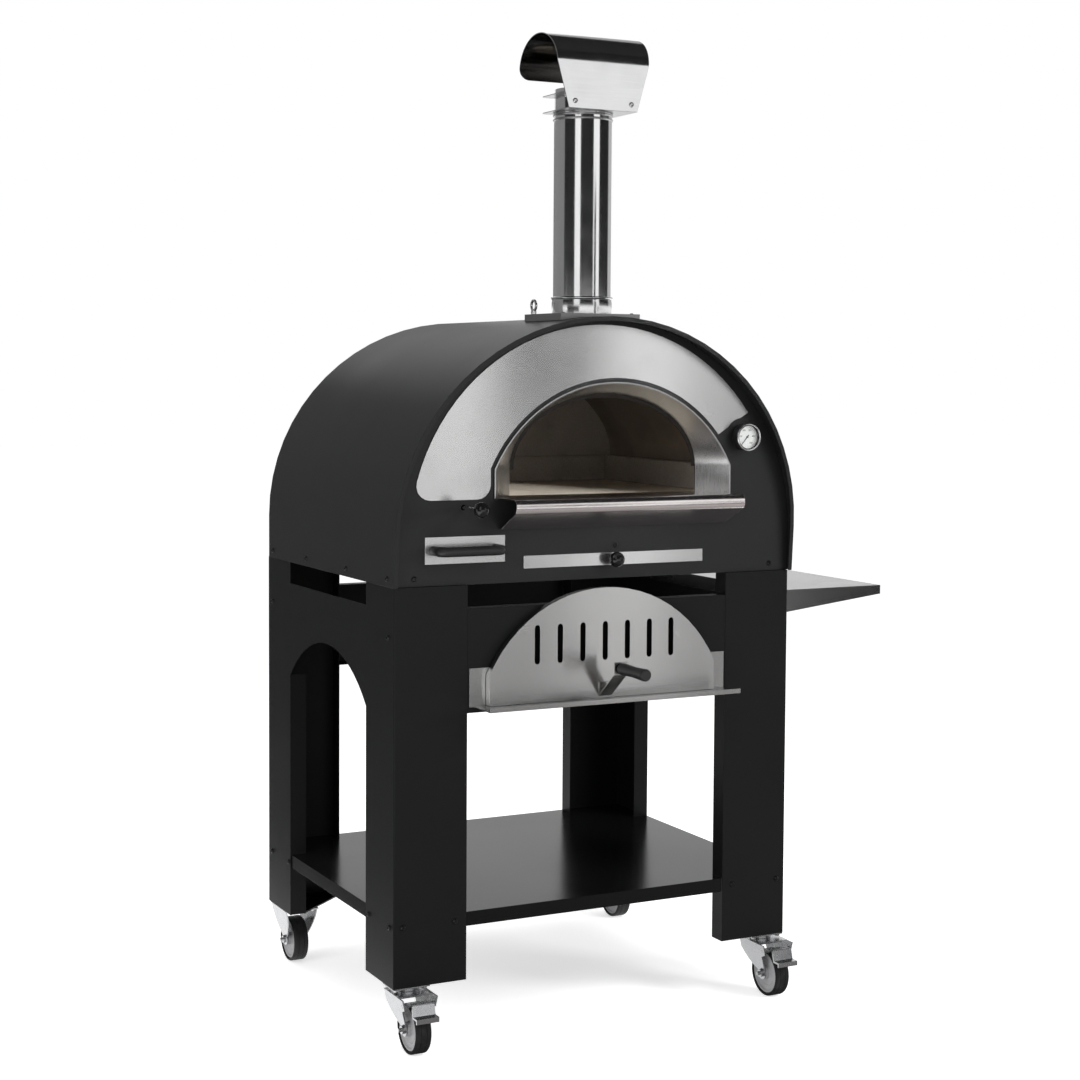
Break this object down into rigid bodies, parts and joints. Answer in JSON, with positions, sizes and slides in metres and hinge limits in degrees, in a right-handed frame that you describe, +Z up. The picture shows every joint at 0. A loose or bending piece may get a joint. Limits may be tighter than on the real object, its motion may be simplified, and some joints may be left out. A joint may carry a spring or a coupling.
{
  "type": "wood fired oven on wheeled stand",
  "caption": "Vaulted wood fired oven with an arched mouth and a chimney, on a wheeled sheet steel stand with a shelf, a side shelf and a door holder.",
  "frame": {"origin": "floor level, below the centre of the object's box", "axes": "+X to the right seen from the mouth, +Y towards the back, +Z up"},
  "size_m": [1.1868, 0.9354, 2.052],
  "materials": {
    "stand_paint": "satin anthracite paint",
    "oven_paint": "satin anthracite paint",
    "stainless": "brushed",
    "polished": "bright",
    "zinc": "zinc plated",
    "black_plastic": "gloss",
    "grey_plastic": "matte",
    "rubber": "matte",
    "refractory": "rough",
    "chamber_steel": "heat stained",
    "wool": "fibre",
    "dial_white": "matte white",
    "needle_black": "matte black",
    "clear_glass": "clear"
  },
  "bodies": {
    "stand": {"stand_side_left": "stand_paint", "stand_side_right": "stand_paint", "crosspiece_front": "stand_paint", "crosspiece_rear": "stand_paint", "bottom_shelf": "stand_paint", "oven_shell": "oven_paint", "front_panel": "oven_paint", "back_panel": "oven_paint", "base_pan": "oven_paint", "door_tray": "stainless", "mouth_liner": "stainless", "face_plate": "stainless", "thermometer_body": "stainless", "cowl_yoke": "stainless", "ledge": "polished", "chimney_saddle": "polished", "lifting_eye": "polished", "flue_collar": "polished", "flue_pipe": "polished", "cowl": "polished", "caster_front_left_plate": "zinc", "caster_front_right_plate": "zinc", "caster_rear_left_fork": "zinc", "caster_rear_right_fork": "zinc", "floor_stone_left": "refractory", "floor_stone_right": "refractory", "chamber_back_stone": "refractory", "low_wall_left": "refractory", "low_wall_right": "refractory", "hearth_deck": "chamber_steel", "chamber_front": "chamber_steel", "chamber_vault": "chamber_steel", "insulation": "wool", "thermometer_dial": "dial_white", "thermometer_glass": "clear_glass"},
    "side_shelf": {"side_shelf": "stainless"},
    "ash_drawer": {"ash_drawer": "stainless", "ash_drawer_handle": "black_plastic"},
    "crumb_tray": {"crumb_tray": "stainless", "crumb_tray_knob": "black_plastic"},
    "ash_shutter": {"ash_shutter": "polished", "ash_shutter_knob": "black_plastic"},
    "thermometer_needle": {"thermometer_needle": "needle_black"},
    "door": {"door": "stainless", "door_bracket": "stainless", "door_grip": "black_plastic"},
    "caster_front_left_swivel": {"caster_front_left_fork": "zinc"},
    "caster_front_left_pedal": {"caster_front_left_pedal": "zinc"},
    "caster_front_left_wheel": {"caster_front_left_hub": "grey_plastic", "caster_front_left_tyre": "rubber"},
    "caster_rear_left_wheel": {"caster_rear_left_hub": "grey_plastic", "caster_rear_left_tyre": "rubber"},
    "caster_front_right_swivel": {"caster_front_right_fork": "zinc"},
    "caster_front_right_pedal": {"caster_front_right_pedal": "zinc"},
    "caster_front_right_wheel": {"caster_front_right_hub": "grey_plastic", "caster_front_right_tyre": "rubber"},
    "caster_rear_right_wheel": {"caster_rear_right_hub": "grey_plastic", "caster_rear_right_tyre": "rubber"}
  },
  "joints": [
    {"name": "side_shelf_lift", "type": "slide", "parent": "stand", "child": "side_shelf", "axis": [0, 0, 1], "range_m": [0, 0.032]},
    {"name": "ash_drawer_slide", "type": "slide", "parent": "stand", "child": "ash_drawer", "axis": [0, -1, 0], "range_m": [0, 0.25]},
    {"name": "crumb_tray_slide", "type": "slide", "parent": "stand", "child": "crumb_tray", "axis": [0, -1, 0], "range_m": [0, 0.3]},
    {"name": "ash_shutter_slide", "type": "slide", "parent": "stand", "child": "ash_shutter", "axis": [0, -1, 0], "range_m": [0, 0.04]},
    {"name": "thermometer_needle_turn", "type": "hinge", "parent": "stand", "child": "thermometer_needle", "pos_m": [0.2121, -0.2953, 1.213], "axis": [0, 1, 0], "range_deg": [0, 280], "stiffness_Nm_per_rad": 0.0005},
    {"name": "door_lift", "type": "slide", "parent": "stand", "child": "door", "axis": [0, 0, 1], "range_m": [0, 0.012]},
    {"name": "caster_front_left_swivel_turn", "type": "hinge", "parent": "stand", "child": "caster_front_left_swivel", "pos_m": [-0.5489, -0.2473, 0.113], "axis": [0, 0, 1], "continuous": true},
    {"name": "caster_front_left_spin", "type": "hinge", "parent": "caster_front_left_swivel", "child": "caster_front_left_wheel", "pos_m": [-0.5489, -0.2893, 0.05], "axis": [1, 0, 0], "continuous": true},
    {"name": "caster_front_left_brake", "type": "hinge", "parent": "caster_front_left_swivel", "child": "caster_front_left_pedal", "pos_m": [-0.5489, -0.3113, 0.104], "axis": [1, 0, 0], "range_deg": [0, 10]},
    {"name": "caster_rear_left_spin", "type": "hinge", "parent": "stand", "child": "caster_rear_left_wheel", "pos_m": [-0.5489, 0.4057, 0.05], "axis": [1, 0, 0], "continuous": true},
    {"name": "caster_front_right_swivel_turn", "type": "hinge", "parent": "stand", "child": "caster_front_right_swivel", "pos_m": [0.2911, -0.2473, 0.113], "axis": [0, 0, 1], "continuous": true},
    {"name": "caster_front_right_spin", "type": "hinge", "parent": "caster_front_right_swivel", "child": "caster_front_right_wheel", "pos_m": [0.2911, -0.2893, 0.05], "axis": [1, 0, 0], "continuous": true},
    {"name": "caster_front_right_brake", "type": "hinge", "parent": "caster_front_right_swivel", "child": "caster_front_right_pedal", "pos_m": [0.2911, -0.3113, 0.104], "axis": [1, 0, 0], "range_deg": [0, 10]},
    {"name": "caster_rear_right_spin", "type": "hinge", "parent": "stand", "child": "caster_rear_right_wheel", "pos_m": [0.2911, 0.4057, 0.05], "axis": [1, 0, 0], "continuous": true}
  ]
}
